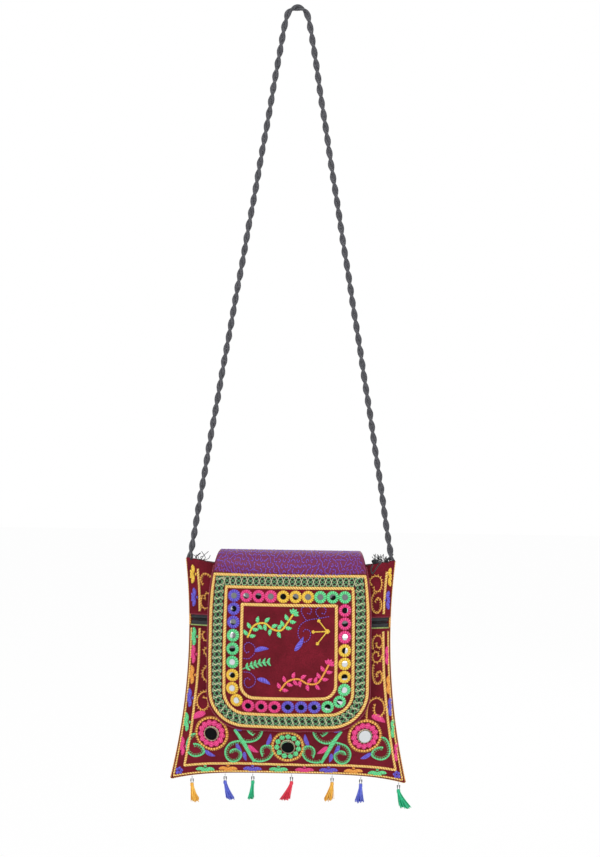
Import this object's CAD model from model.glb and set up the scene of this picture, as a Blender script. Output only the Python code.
# %% [markdown]
# # Embroidered flap sling bag
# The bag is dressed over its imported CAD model, which stays where it is as a fixed frame.
# Every shape below is worked out with numpy on the same curved surfaces as the CAD, so a
# stitch is placed by two numbers: x across, and the drop below the mouth's corners.

# %% Load the frame
import math

import bpy
import numpy as np
from mathutils import Matrix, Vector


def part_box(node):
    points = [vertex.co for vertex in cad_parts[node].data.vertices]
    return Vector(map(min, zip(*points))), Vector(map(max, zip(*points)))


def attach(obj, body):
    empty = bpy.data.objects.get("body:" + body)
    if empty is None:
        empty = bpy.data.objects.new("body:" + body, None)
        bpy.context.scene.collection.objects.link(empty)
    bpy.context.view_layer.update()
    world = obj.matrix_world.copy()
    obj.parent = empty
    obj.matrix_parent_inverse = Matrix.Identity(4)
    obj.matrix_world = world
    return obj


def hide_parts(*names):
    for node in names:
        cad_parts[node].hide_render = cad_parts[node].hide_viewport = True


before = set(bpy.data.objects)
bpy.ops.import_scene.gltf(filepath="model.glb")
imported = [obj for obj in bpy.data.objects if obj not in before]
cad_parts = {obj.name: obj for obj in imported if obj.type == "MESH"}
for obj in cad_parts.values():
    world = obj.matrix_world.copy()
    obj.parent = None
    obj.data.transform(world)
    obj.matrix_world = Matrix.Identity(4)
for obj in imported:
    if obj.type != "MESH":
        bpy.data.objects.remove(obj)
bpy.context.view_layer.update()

# %% [markdown]
# ## Camera
# The photograph looks at the bag from about 1.6 m, almost straight on. The angles were
# fitted to the mouth's corners, the hem's corners and the top of the cord. A camera could
# be turned with Euler angles, but its three axes as matrix columns are easier to read.

# %% Place the camera
PHOTO_HEIGHT = 857                  # in pixels, the picture's long side
SENSOR = 36.0                       # in mm, along the same side
FOCAL = 1484.1                      # in pixels of the photograph
YAW, PITCH, ROLL = (math.radians(a) for a in (1.48, -1.38, 0.73))
DISTANCE = 1.6
TARGET = np.array([0.0084, 0.0, -0.4473])
ahead = np.array([-math.sin(YAW) * math.cos(PITCH), math.cos(YAW) * math.cos(PITCH),
                  math.sin(PITCH)])
level_right = np.array([math.cos(YAW), math.sin(YAW), 0.0])
level_up = np.cross(level_right, ahead)
right = level_right * math.cos(ROLL) + level_up * math.sin(ROLL)
up = level_up * math.cos(ROLL) - level_right * math.sin(ROLL)
camera = bpy.data.objects.new("camera", bpy.data.cameras.new("camera"))
camera.data.sensor_width = SENSOR
camera.data.lens = FOCAL * SENSOR / PHOTO_HEIGHT
pose = Matrix([[*axis, place] for axis, place in
               zip(zip(right, up, -ahead), TARGET - ahead * DISTANCE)]).to_4x4()
camera.matrix_world = pose
bpy.context.scene.collection.objects.link(camera)
bpy.context.scene.camera = camera
print("lens", round(camera.data.lens, 2), "mm")

# %% [markdown]
# ## Materials
# A finish is a Principled shader with a few nodes in front of it. One function turns the
# hex colours to linear ones, and one adds a node with its settings and links.

# %% Helpers for materials
MM = 0.001


def linear(hex_colour):
    """sRGB hex to linear RGBA: each channel through the sRGB curve."""
    channel = np.array([int(hex_colour[i:i + 2], 16) / 255 for i in (1, 3, 5)])
    low = channel / 12.92
    high = ((channel + 0.055) / 1.055) ** 2.4
    return (*np.where(channel <= 0.04045, low, high).tolist(), 1.0)


def add(tree, kind, settings=(), links=()):
    """One node. Its settings are attributes or input values, and its links give the output
    that each input reads."""
    made = tree.nodes.new(kind)
    for key, value in dict(settings).items():
        if isinstance(key, str) and hasattr(made, key):
            setattr(made, key, value)
        else:
            made.inputs[key].default_value = value
    for key, source in dict(links).items():
        tree.links.new(source, made.inputs[key])
    return made


def new_finish(name, **values):
    """A material with its Principled shader, and the values that are the same all over."""
    material = bpy.data.materials.new(name)
    material.use_nodes = True
    shader = material.node_tree.nodes["Principled BSDF"]
    for key, value in values.items():
        shader.inputs[key.replace("_", " ")].default_value = value
    return material, material.node_tree, shader

# %% [markdown]
# Velvet is a cotton cloth with a cut pile: dark where the pile points at the eye and pale
# where it is seen from the side, which is what sheen does. Brushed patches change its tone.

# %% Velvet and plain cloths
def pile_cloth(name, colour, brushed, sheen, patch_mm, grain_mm, depth):
    """A cloth whose tone wanders in patches and whose face has a fine grain."""
    material, tree, shader = new_finish(name, Roughness=0.9, Sheen_Weight=sheen,
                                        Sheen_Roughness=0.45, Specular_IOR_Level=0.2,
                                        Sheen_Tint=linear(brushed))
    place = add(tree, "ShaderNodeTexCoord").outputs["Object"]
    patch = add(tree, "ShaderNodeTexNoise", {"Scale": 1 / (patch_mm * MM), "Detail": 4.0},
                {"Vector": place})
    grain = add(tree, "ShaderNodeTexNoise", {"Scale": 1 / (grain_mm * MM), "Detail": 3.0},
                {"Vector": place})
    both = add(tree, "ShaderNodeMath", {"operation": "MULTIPLY"},
               {0: patch.outputs["Fac"], 1: grain.outputs["Fac"]})
    tone = add(tree, "ShaderNodeMapRange", {"From Min": 0.12, "From Max": 0.42},
               {"Value": both.outputs[0]})
    mixed = add(tree, "ShaderNodeMix", {"data_type": "RGBA", 6: linear(colour),
                                        7: linear(brushed)},
                {0: tone.outputs[0]})
    bump = add(tree, "ShaderNodeBump", {"Strength": 0.5, "Distance": depth * MM},
               {"Height": grain.outputs["Fac"]})
    tree.links.new(mixed.outputs[2], shader.inputs["Base Color"])
    tree.links.new(bump.outputs[0], shader.inputs["Normal"])
    return material


# The pile is under 1 mm long; its grain is drawn at 1.2 mm, which is what the render shows.
VELVET = pile_cloth("maroon_cut_velvet", "#560c18", "#7b1729", 0.09, 22, 1.2, 0.5)
LINING = pile_cloth("cotton_lining", "#33262a", "#4c3a3e", 0.1, 30, 0.9, 0.2)

# %% [markdown]
# Floss, braid, tape and cord are threads that lie side by side. One slanted wave on the
# piece's own UV map, which is in millimetres along and across, draws the threads, and a
# slow noise makes some of them paler. The same wave gives the bump.

# %% Woven and stitched finishes
BAND = math.pi / 10                 # wave scale that gives one band for each unit of UV


def stitched(name, colour, light, pitch_mm, slant, roughness=0.5, deep=0.35, contrast=1.0):
    """Thread laid side by side: a wave along the UV's length, slanted by its width."""
    material, tree, shader = new_finish(name, Roughness=roughness, Sheen_Weight=0.25,
                                        Sheen_Roughness=0.3, Specular_IOR_Level=0.4)
    uv = add(tree, "ShaderNodeUVMap", {"uv_map": "thread"}).outputs[0]
    turned = add(tree, "ShaderNodeMapping", {"Rotation": (0, 0, slant)}, {"Vector": uv})
    wave = add(tree, "ShaderNodeTexWave",
               {"wave_type": "BANDS", "bands_direction": "X",
                "Scale": BAND / pitch_mm, "Distortion": 0.6, "Detail": 1.0},
               {"Vector": turned.outputs[0]})
    drift = add(tree, "ShaderNodeTexNoise", {"Scale": 0.35, "Detail": 2.0}, {"Vector": uv})
    both = add(tree, "ShaderNodeMath", {"operation": "MULTIPLY"},
               {0: wave.outputs["Fac"], 1: drift.outputs["Fac"]})
    tone = add(tree, "ShaderNodeMapRange", {"From Min": 0.04, "From Max": 0.55 / contrast},
               {"Value": both.outputs[0]})
    mixed = add(tree, "ShaderNodeMix", {"data_type": "RGBA", 6: linear(colour),
                                        7: linear(light)}, {0: tone.outputs[0]})
    bump = add(tree, "ShaderNodeBump", {"Strength": 0.6, "Distance": deep * MM},
               {"Height": wave.outputs["Fac"]})
    tree.links.new(mixed.outputs[2], shader.inputs["Base Color"])
    tree.links.new(bump.outputs[0], shader.inputs["Normal"])
    return material


# Embroidery floss is 0.4 mm thick and a braid's stitches are 1 mm apart. Both are drawn
# coarser, at 1.7 mm and 2.1 mm, so that single stitches show in the render.
FLOSS_PITCH, BRAID_PITCH = 1.7, 2.1
FLOSS = {word: stitched("rayon_floss_" + word, dark, light, FLOSS_PITCH, 0.35)
         for word, dark, light in (
             ("mint", "#2fa860", "#86f5ae"), ("pink", "#c01058", "#ff58a4"),
             ("violet", "#3b2a9c", "#8474ee"), ("yellow", "#d0921a", "#ffe65a"),
             ("orange", "#d0701c", "#ffc058"), ("wine", "#5c0c20", "#a02c44"),
             ("cream", "#b9b48a", "#f6f2d0"), ("leaf", "#2f8a50", "#8fd8a0"),
             ("lime", "#5f7a2c", "#c9e08e"), ("black", "#141416", "#34353a"))}
# Tape, lattice ground and brocade are woven at about 0.4 mm, and are drawn at 0.9 to 1.2 mm
# for the same reason.
GOLD_BRAID = stitched("gold_braid", "#bc6c20", "#ffe284", BRAID_PITCH, 0.75, 0.5, 0.3, 1.4)
GOLD_CORD = stitched("gold_couched_cord", "#a85a18", "#ffc860", 2.2, 0.6, 0.5, 0.4, 1.4)
ZIP_TAPE = stitched("woven_zip_tape", "#1f2023", "#45474c", 0.9, 0.78, 0.8, 0.15)
LATTICE_GROUND = stitched("lattice_ground", "#1d0d10", "#3c2320", 0.9, 0.0, 0.8, 0.2)
BROCADE = stitched("satin_brocade", "#5a1038", "#86285a", 1.2, 0.4, 0.5, 0.15)
BROCADE_THREAD = stitched("brocade_thread", "#4a2fae", "#7a62dc", FLOSS_PITCH, 0.3, 0.5,
                          0.1)

# %% [markdown]
# The cord is cotton yarn whose fibres run along each ply at a slant. Mirrors are thin
# silvered glass, zip sliders are die-cast metal, and the beads are moulded glass.

# %% Yarn, metal, mirror and bead finishes
CORD_YARN = stitched("cotton_cord_yarn", "#323236", "#74747a", 0.9, 0.9, 0.9, 0.35)
DARK_THREAD = stitched("dark_thread", "#26262a", "#4a4a50", 0.6, 0.6, 0.8, 0.1)


def hard_finish(name, colour, rough_low, rough_high, patch_mm, depth, **values):
    """A smooth finish whose roughness and surface wander a little."""
    material, tree, shader = new_finish(name, **values)
    shader.inputs["Base Color"].default_value = linear(colour)
    place = add(tree, "ShaderNodeTexCoord").outputs["Object"]
    noise = add(tree, "ShaderNodeTexNoise", {"Scale": 1 / (patch_mm * MM), "Detail": 2.0},
                {"Vector": place})
    rough = add(tree, "ShaderNodeMapRange", {"To Min": rough_low, "To Max": rough_high},
                {"Value": noise.outputs["Fac"]})
    bump = add(tree, "ShaderNodeBump", {"Strength": 0.3, "Distance": depth * MM},
               {"Height": noise.outputs["Fac"]})
    tree.links.new(rough.outputs[0], shader.inputs["Roughness"])
    tree.links.new(bump.outputs[0], shader.inputs["Normal"])
    return material


MIRROR = hard_finish("silvered_glass", "#d8dcde", 0.02, 0.1, 3, 0.1, Metallic=1.0)
ZIP_METAL = hard_finish("die_cast_zip_metal", "#4a4b4e", 0.25, 0.45, 2, 0.1, Metallic=1.0)
BEAD = hard_finish("clear_glass_bead", "#eef0f2", 0.05, 0.15, 2, 0.05,
                   Transmission_Weight=0.35)
TASSEL_FLOSS = {word: stitched("tassel_floss_" + word, dark, light, 2.3, math.pi / 2, 0.5,
                               0.05)
                for word, dark, light in (
                    ("yellow", "#e09a20", "#ffd060"), ("blue", "#3a48b8", "#7f8cf0"),
                    ("green", "#0f9a68", "#38dca0"), ("red", "#d01838", "#ff5068"))}
print(len(bpy.data.materials), "materials so far")

# %% [markdown]
# ## The bag's surfaces
# The stuffed bag is a lens across, with its mouth pressed together and its hem closed by a
# steep curve. The flap lies over the front and turns round the mouth as half an ellipse.
# A few long waves give the cloth the slack puckers of stitched velvet.

# %% Sizes that the CAD model uses
STRAP_DROP, BAG_HEIGHT = 0.588, 0.241
MOUTH_WIDTH, WAIST_WIDTH, WAIST_AT, HEM_WIDTH = 0.225, 0.216, 0.36, 0.254
MOUTH_SAG, HEM_ARCH, HEM_POINT, MOUTH_DEPTH = 0.012, 0.0085, 4, 0.020
BELLY_DEPTH, BELLY_DROP, HEM_POWER = 0.060, 0.150, 5
CLOTH, CLEARANCE = 0.0015, 0.0003
ZIP_DROP, ZIP_SHOW, TAPE_TUCK = 0.067, 0.0117, 0.003
FOLD_RISE, FOLD_SPAN, BACK_TUCK = 0.006, 0.045, 0.012
FLAP_DROP, FOLD_WIDTH, FLAP_WIDTH, FLAP_FLARE, FLAP_CORNER = 0.181, 0.151, 0.173, 0.08, 0.04
DRAW_POWER = 4                      # above it, how much more the flap's edges are drawn in
FLAP_SEAT, FLAP_EASE, EASE_END = 0.0008, 0.0070, 0.075
FLAP_FACE = 0.0026                  # the flap's outer face above its inner one
BRAID_WIDTH = 0.0032
OUTER_BRAID = (0.0835, 0.016, 0.1765, 0.0370)   # half width, top, bottom, corner radius
INNER_BRAID = (0.0680, 0.029, 0.1630, 0.0235)
RING_LOOP = (0.0590, 0.0384, 0.1539, 0.0170)
FIELD_BRAID = (0.0500, 0.0474, 0.1450, 0.0140)
BROCADE_END = 0.0135


# %% The same surface formulas
def smooth_step(value):
    """3t^2 - 2t^3, held at 0 and 1."""
    value = np.clip(value, 0.0, 1.0)
    return value * value * (3.0 - 2.0 * value)


def half_width(drop):
    """Parabola through the mouth, the waist and the hem."""
    share, mouth = drop / BAG_HEIGHT, MOUTH_WIDTH / 2
    flare = HEM_WIDTH / 2 - mouth
    bend = (WAIST_WIDTH / 2 - mouth - WAIST_AT * flare) / (WAIST_AT ** 2 - WAIST_AT)
    return mouth + (flare - bend) * share + bend * share ** 2


def mouth_line(across):
    """The mouth's drop, a parabola: sag*(1 - u^2), with u from seam to seam."""
    return MOUTH_SAG * (1.0 - across ** 2)


def hem_line(across):
    """The hem's drop, pulled down at the corners: height - arch*(1 - u^4)."""
    return BAG_HEIGHT - HEM_ARCH * (1.0 - across ** HEM_POINT)


def half_depth(x, drop):
    """A lens 1 - u^2 across, closed at the hem by 1 - t^5."""
    across = x / half_width(drop)
    down = (drop - mouth_line(across)) / (hem_line(across) - mouth_line(across))
    grown = smooth_step(drop / BELLY_DROP)
    centre = MOUTH_DEPTH / 2 + (BELLY_DEPTH - MOUTH_DEPTH) / 2 * grown
    return centre * (1.0 - across ** 2) * (1.0 - down ** HEM_POWER)


def lifted(base, first, second, lift, sign):
    """The surface moved along its normal, found from small steps."""
    step = 1e-5
    along = base(first + step, second) - base(first - step, second)
    down = base(first, second + step) - base(first, second - step)
    normal = np.cross(along, down) * sign
    normal /= np.maximum(np.linalg.norm(normal, axis=-1, keepdims=True), 1e-15)
    return base(first, second) + normal * lift[..., None]


WAVES = ((0.55, 9.0, 14.0, 0.4), (0.40, -21.0, 11.0, 2.1), (0.30, 33.0, -19.0, 4.4),
         (0.22, 47.0, 38.0, 1.2), (0.18, -60.0, 71.0, 5.2))
EDGE_FADE, ZIP_FLAT, ZIP_FADE, HEM_FADE = 0.02, 0.006, 0.02, 0.03


def pucker(x, drop):
    """Slack in the cloth in metres: a sum of sines a*sin(2pi*(fx + gd) + phase), faded out
    at the seams and along the zip."""
    total = sum(a * np.sin(2 * math.pi * (f * x + g * drop) + phase)
                for a, f, g, phase in WAVES)
    edge = smooth_step((half_width(drop) - np.abs(x)) / EDGE_FADE)
    zip_free = smooth_step((np.abs(drop - ZIP_DROP) - ZIP_FLAT) / ZIP_FADE)
    hem_free = smooth_step((BAG_HEIGHT - HEM_ARCH - drop) / HEM_FADE)
    return total * MM * edge * zip_free * hem_free


def body(x, drop, side, lift=0.0):
    """A point on the inner face of the front (-1) or back (+1) cloth, lifted outward."""
    def base(across, down):
        depth = side * (CLEARANCE / 2 + half_depth(across, down))
        return np.stack([across, depth, -STRAP_DROP - down], axis=-1)

    x, drop, lift = np.broadcast_arrays(*(np.asarray(v, float) for v in (x, drop, lift)))
    return lifted(base, x, drop, lift, side)


def front(x, drop, lift=0.0):
    """A point above the front's outer face."""
    x, drop = np.asarray(x, float), np.asarray(drop, float)
    return body(x, drop, -1, CLOTH + pucker(x, drop) + lift)


def back(x, drop, lift=0.0):
    """A point above the back's outer face, with other puckers than the front."""
    x, drop = np.asarray(x, float), np.asarray(drop, float)
    return body(x, drop, 1, CLOTH + 1.3 * pucker(x + 0.031, drop) + lift)


def fold_start(x):
    """The mouth's drop at a place on the flap, where the path down the front starts."""
    return mouth_line(2 * x / MOUTH_WIDTH)


def drawn_in(x, path):
    """The flap is cut straight, and its edges are drawn in towards the fold."""
    widened = 1.0 - (1.0 - np.clip((path + FOLD_SPAN / 2) / FLAP_FLARE, 0.0, 1.0)) ** 2
    narrow = (1.0 - FOLD_WIDTH / FLAP_WIDTH) * (1.0 - widened)
    return x * (1.0 - narrow * np.abs(2 * x / FLAP_WIDTH) ** DRAW_POWER)


def flap_base(x, path):
    """The flap's inner face: front below the mouth, half an ellipse round it, then back."""
    on_back = path < -FOLD_SPAN
    start = fold_start(x)
    x = drawn_in(x, path)
    drop = np.where(on_back, start - FOLD_SPAN - path, start + np.maximum(path, 0))
    ease = FLAP_EASE * (1.0 - smooth_step((drop - EASE_END) / (FLAP_DROP - EASE_END)))
    wall = CLEARANCE / 2 + half_depth(x, drop) + CLOTH + FLAP_SEAT
    turn = np.clip(-path / FOLD_SPAN, 0.0, 1.0) * math.pi
    reach = wall + ease * 0.5 * (1.0 + np.cos(turn))
    height = (start + FOLD_RISE) * np.sin(turn)
    return np.stack([x, -reach * np.cos(turn), -STRAP_DROP - drop + height], axis=-1)


def flap_path(x, path, lift=0.0):
    """A point above the flap's outer face, by the path along the flap."""
    x, path, lift = np.broadcast_arrays(*(np.asarray(v, float) for v in (x, path, lift)))
    soft = 0.6 * pucker(x * 0.8 + 0.05, path) * smooth_step(path / 0.03)
    return lifted(flap_base, x, path, FLAP_FACE + soft + lift, -1)


def flap(x, drop, lift=0.0):
    """A point above the flap's outer face, by the drop."""
    x = np.asarray(x, float)
    return flap_path(x, drop - fold_start(x), lift)


def flap_end(x):
    """The path at the flap's lower edge: level, less a quarter circle at each corner."""
    past = np.maximum(np.abs(x) - (FLAP_WIDTH / 2 - FLAP_CORNER), 0.0)
    round_drop = FLAP_CORNER - np.sqrt(np.maximum(FLAP_CORNER ** 2 - past ** 2, 0.0))
    return FLAP_DROP - fold_start(x) - round_drop


print("front middle at the belly", front(0.0, BELLY_DROP).round(4))

# %% [markdown]
# ## Meshes from grids
# Every piece is a grid of points: rows along it and columns across or round it. One
# function turns a grid to quads with its UV map in millimetres, and another joins many
# grids to one mesh, so hundreds of stitches make one object.

# %% Grids to meshes
def grid(points, along, across, close_rows=False, close_columns=False, caps=False):
    """Vertices, quads and a UV for each corner. along and across are the UV values at the
    rows and columns, one more than the rows or columns where that way is closed."""
    rows, columns = points.shape[:2]
    row, column = np.meshgrid(np.arange(rows if close_rows else rows - 1),
                              np.arange(columns if close_columns else columns - 1),
                              indexing="ij")
    row = np.stack([row, row, row + 1, row + 1], axis=-1).reshape(-1, 4)
    column = np.stack([column, column + 1, column + 1, column], axis=-1).reshape(-1, 4)
    faces = (row % rows) * columns + column % columns
    uv = np.stack([np.asarray(along)[row], np.asarray(across)[column]], axis=-1)
    faces, uv = faces.tolist(), uv.reshape(-1, 2)
    if caps:
        ring = np.arange(columns)
        faces += [ring[::-1].tolist(), (ring + (rows - 1) * columns).tolist()]
        uv = np.concatenate([uv, np.zeros((2 * columns, 2))])
    return points.reshape(-1, 3), faces, uv


def join(parts):
    """Many grids as one: the faces count on from the vertices before them."""
    counts = np.cumsum([0] + [len(part[0]) for part in parts])
    vertices = np.concatenate([part[0] for part in parts])
    faces = [[i + start for i in face] for part, start in zip(parts, counts)
             for face in part[1]]
    return vertices, faces, np.concatenate([part[2] for part in parts])


def outward(vertices, faces):
    """Six times the volume inside, positive where the faces point outward."""
    fans = [(f[0], f[k], f[k + 1]) for f in faces for k in range(1, len(f) - 1)]
    a, b, c = (vertices[np.array(fans)[:, k]] for k in range(3))
    return np.einsum("ij,ij->", a - vertices[0], np.cross(b - vertices[0], c - vertices[0]))


def piece(name, mesh_parts, material, replaced=(), rides="bag", flat=False):
    """An object from a mesh, riding on its body, with its finish and the nodes it hides."""
    parts = mesh_parts if isinstance(mesh_parts, list) else [mesh_parts]
    if outward(parts[0][0], parts[0][1]) < 0:
        parts = [flipped(part) for part in parts]
    vertices, faces, uv = join(parts)
    mesh = bpy.data.meshes.new(name)
    mesh.from_pydata(vertices.tolist(), [], faces)
    layer = mesh.uv_layers.new(name="thread")
    layer.data.foreach_set("uv", uv.ravel())
    mesh.materials.append(material)
    mesh.shade_smooth()
    if flat:
        mesh.set_sharp_from_angle(angle=math.radians(35))
    made = bpy.data.objects.new(name, mesh)
    bpy.context.scene.collection.objects.link(made)
    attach(made, rides)
    if replaced:
        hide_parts(*([replaced] if isinstance(replaced, str) else replaced))
    print(name, len(mesh.polygons), "faces")
    return made


def flipped(part):
    """The same mesh with each face's corners in the other order, and its UVs with them."""
    vertices, faces, uv = part
    start, turned = 0, []
    for face in faces:
        turned.append(uv[start:start + len(face)][::-1])
        start += len(face)
    return vertices, [face[::-1] for face in faces], np.concatenate(turned)


def lengths(points):
    """Distance along a line of points, in millimetres for the UV map."""
    steps = np.linalg.norm(np.diff(points, axis=0), axis=-1)
    return np.concatenate([[0.0], np.cumsum(steps)]) / MM


def read_at(line, wanted):
    """The places on a line of points at the wanted distances along it."""
    reach = lengths(line) * MM
    return np.stack([np.interp(wanted, reach, line[:, k]) for k in range(line.shape[1])],
                    axis=-1)


def evenly(line, step):
    """The same line with its points at even steps, at least four of them."""
    reach = lengths(line)[-1] * MM
    return read_at(line, np.linspace(0, reach, max(int(round(reach / step)), 3) + 1))


def curve(points, step):
    """A Catmull-Rom curve through the points, read at even steps: each stretch is the cubic
    whose slope at a point is half the way between that point's neighbours."""
    points = np.asarray(points, float)
    padded = np.vstack([2 * points[0] - points[1], points, 2 * points[-1] - points[-2]])
    t = np.linspace(0, 1, 16, endpoint=False)[:, None]
    fine = [0.5 * (2 * b + (c - a) * t + (2 * a - 5 * b + 4 * c - d) * t ** 2
                   + (3 * b - a - 3 * c + d) * t ** 3)
            for a, b, c, d in zip(padded, padded[1:], padded[2:], padded[3:])]
    return evenly(np.vstack(fine + [points[-1:]]), step)


def sideways(path, closed=False):
    """Unit vectors across a path of (x, drop) points."""
    if closed:
        run = np.roll(path, -1, axis=0) - np.roll(path, 1, axis=0)
    else:
        run = np.gradient(path, axis=0)
    run = run / np.maximum(np.linalg.norm(run, axis=1, keepdims=True), 1e-12)
    return np.stack([-run[:, 1], run[:, 0]], axis=-1)

# %% [markdown]
# ## Laid thread
# Satin stitch, couched cord and braid are all thread laid over a line: a low rounded bar on
# the cloth with a ridge for each stitch. The bar's foot goes a little way into the cloth.

# %% A bar of thread along a line
FOOT = -0.0004


def thread_bar(path, width, height, surface, pitch=0.0018, slant=0.0, ridge=0.3,
               closed=False, section=7, base=0.0):
    """Points surface(p + s*w*v/2, lift) with lift = h*sqrt(1 - v^2), which dips between
    the stitches by r*(1 - |sin(pi*(u/pitch + slant*v))|). The section is a closed ring."""
    path = np.asarray(path, float)
    rows = len(path)
    width = np.broadcast_to(np.asarray(width, float), (rows,))[:, None]
    height = np.broadcast_to(np.asarray(height, float), (rows,))[:, None]
    v = np.sin(np.linspace(-math.pi / 2, math.pi / 2, section))[None]
    u = lengths(np.vstack([path, path[:1]]) if closed else path) * MM
    stitch = np.abs(np.sin(math.pi * (u[:rows, None] / pitch + slant * v)))
    lift = height * np.sqrt(np.maximum(1 - v ** 2, 0.0)) * (1 - ridge * (1 - stitch)) + base
    side = sideways(path, closed)
    spot = path[:, None] + side[:, None] * (width * v / 2)[..., None]
    top = surface(spot[..., 0], spot[..., 1], lift)
    under = surface(spot[:, ::-1, 0], spot[:, ::-1, 1], FOOT + 0 * lift)[:, ::section - 1]
    ring = np.concatenate([top, under], axis=1)
    edge = np.concatenate([width.max() * v[0] / 2, [0, 0, 0]]) / MM
    return grid(ring, u / MM, edge, close_rows=closed, close_columns=True, caps=not closed)


def plain_stitch(path, width, height, surface, base=0.0):
    """One smooth stitch: a bar without ridges, its section drawn with five points."""
    return thread_bar(path, width, height, surface, ridge=0.0, section=5, base=base)


def dashed(line, surface, dash, gap, width, height):
    """Running stitch: bars that are dash points long, with gaps between them."""
    return [plain_stitch(line[k:k + dash], width, height, surface)
            for k in range(0, len(line) - dash, dash + gap - 1)]


def toward(angle):
    """The direction (cos a, sin a) of an angle."""
    return np.array([math.cos(angle), math.sin(angle)])


# %% Leaves and curls of thread
THREAD_STEP = 0.0006                # between the points of a curved line of thread
TICK_WIDTH, TICK_HEIGHT = 0.7 * MM, 0.0006
TICK_SPACE = 5                      # steps from one short stitch to the next, 3 mm


def satin_leaf(start, end, width, surface, bend=0.0, height=0.0011, tail=0.25):
    """A pointed petal or leaf from start to end, its middle line bowed sideways by
    b*sin(pi*t). Its width is w*sin(pi*t^(1 - tail))^0.75, so a tail moves its fullest
    place."""
    start, end = np.asarray(start, float) * MM, np.asarray(end, float) * MM
    t = np.linspace(0.02, 0.98, 13)
    run = end - start
    side = np.array([-run[1], run[0]])
    line = start + run * t[:, None] + side * (bend * np.sin(math.pi * t))[:, None]
    fullness = np.sin(math.pi * t ** (1.0 - tail)) ** 0.75
    return thread_bar(line, width * MM * fullness, height * (0.4 + 0.6 * fullness), surface,
                      pitch=0.0012, slant=0.35, ridge=0.25)


def scroll(points, surface, width=1.5, inner=1, height=0.0010, tick=2.1):
    """A curl of blanket stitch: a couched line with short slanted stitches off its inner
    side, drawn 3 mm apart so that they show."""
    line = curve(np.asarray(points) * MM, THREAD_STEP)
    parts = [thread_bar(line, width * MM, height, surface, FLOSS_PITCH * MM, 0.4)]
    across, run = sideways(line) * inner, np.gradient(line, axis=0)
    for k in range(2, len(line) - 1, TICK_SPACE):
        foot = line[k] + across[k] * width * 0.2 * MM
        tip = foot + across[k] * (width * 0.3 + tick) * MM + run[k] * 1.2
        parts.append(plain_stitch(np.linspace(foot, tip, 4), TICK_WIDTH, TICK_HEIGHT,
                                  surface))
    return parts


print("thread helpers ready")

# %% [markdown]
# ## Shoulder cord
# Two plies of cotton yarn are twisted round each other. They hang in one long loop and run
# down to the corners of the mouth, and the photograph shows all 1.2 m of them. The cord
# could be a curve with a round profile, but the twist is its whole look, so each ply is a
# tube of its own: a helix round the middle line, one turn every 27 mm.

# %% Cord
CORD_DIAMETER, TWIST_PITCH, PLY_SIDES = 0.007, 0.027, 12
CORD_ROUTE = (
    (0.0000, 0.0035), (0.0048, 0.0024), (0.0088, -0.0008), (0.0112, -0.0056),
    (0.0126, -0.0115), (0.0150, -0.0230), (0.0205, -0.0560), (0.0290, -0.1080),
    (0.0410, -0.1800), (0.0545, -0.2600), (0.0685, -0.3420), (0.0820, -0.4220),
    (0.0940, -0.4950), (0.1035, -0.5550), (0.1090, -0.5883),
)
half_route = [(x, 0.0, z) for x, z in CORD_ROUTE]
route = curve([(-x, y, z) for x, y, z in half_route[:0:-1]] + half_route, TWIST_PITCH / 18)
tangent = np.gradient(route, axis=0)
tangent /= np.linalg.norm(tangent, axis=1, keepdims=True)
out_of_plane = np.broadcast_to([0.0, 1.0, 0.0], tangent.shape)
in_plane = np.cross(tangent, out_of_plane)
reach = lengths(route) * MM
plies = []
for phase in (0.0, math.pi):
    turn = 2 * math.pi * reach / TWIST_PITCH + phase
    ply = CORD_DIAMETER / 4 * (1 + 0.05 * np.sin(reach * 151 + phase))
    centre = route + (in_plane * np.cos(turn)[:, None]
                      + out_of_plane * np.sin(turn)[:, None]) * ply[:, None]
    sides = np.linspace(0, 2 * math.pi, PLY_SIDES, endpoint=False)
    around = sides + turn[:, None] * 2.2
    fibre = 1 + 0.05 * np.sin(6 * sides)
    points = centre[:, None] + ply[:, None, None] * fibre[None, :, None] * (
        in_plane[:, None] * np.cos(around)[..., None]
        + out_of_plane[:, None] * np.sin(around)[..., None])
    plies.append(grid(points, reach / MM, np.arange(PLY_SIDES + 1) * 0.9,
                      close_columns=True, caps=True))
cord = piece("twisted_cord", plies, CORD_YARN, "shoulder_cord")

# %% [markdown]
# ## Cloth panels
# Each panel is a slab with an outer and an inner face, sampled finely enough to carry the
# puckers. A cloth simulation would move the velvet away from the hundreds of stitches that
# are placed by formula, so the slack is part of the formula instead.

# %% Panels of the body
def slab(outer, inner):
    """Two grids of points as the faces of one closed slab: each row is a ring, out along
    the outer grid and back along the inner one, and the first and last ring are filled."""
    ring = np.concatenate([outer, inner[:, ::-1]], axis=1)
    rows, columns = outer.shape[:2]
    along = lengths(outer[:, columns // 2])
    across = lengths(outer[rows // 2])
    vertices, faces, uv = grid(ring, along, np.concatenate([across, across[::-1], [0]]),
                               close_columns=True)
    for row in (0, rows - 1):
        first = row * 2 * columns
        cap = [[first + k, first + 2 * columns - 1 - k, first + 2 * columns - 2 - k,
                first + k + 1] for k in range(columns - 1)]
        faces += cap if row == 0 else [f[::-1] for f in cap]
        uv = np.concatenate([uv, np.zeros((4 * (columns - 1), 2))])
    return vertices, faces, uv


def rows_between(top, bottom, rows, columns):
    """x and drop on a grid between two lines. Across it u is sin(a), and down it the share
    is 1 - (1 - s)^1.25, so the points are closer together at the seams and the hem."""
    across = np.sin(np.linspace(-math.pi / 2, math.pi / 2, columns + 1)) * 0.9995
    share = np.linspace(0.0, 1.0, rows + 1)[:, None]
    share = 1 - (1 - share) ** 1.25
    drop = top(across) + (bottom(across) - top(across)) * share
    return across * half_width(drop), drop


def level(drop):
    """A line at one drop from seam to seam."""
    return lambda across: np.full_like(across, drop)


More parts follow.
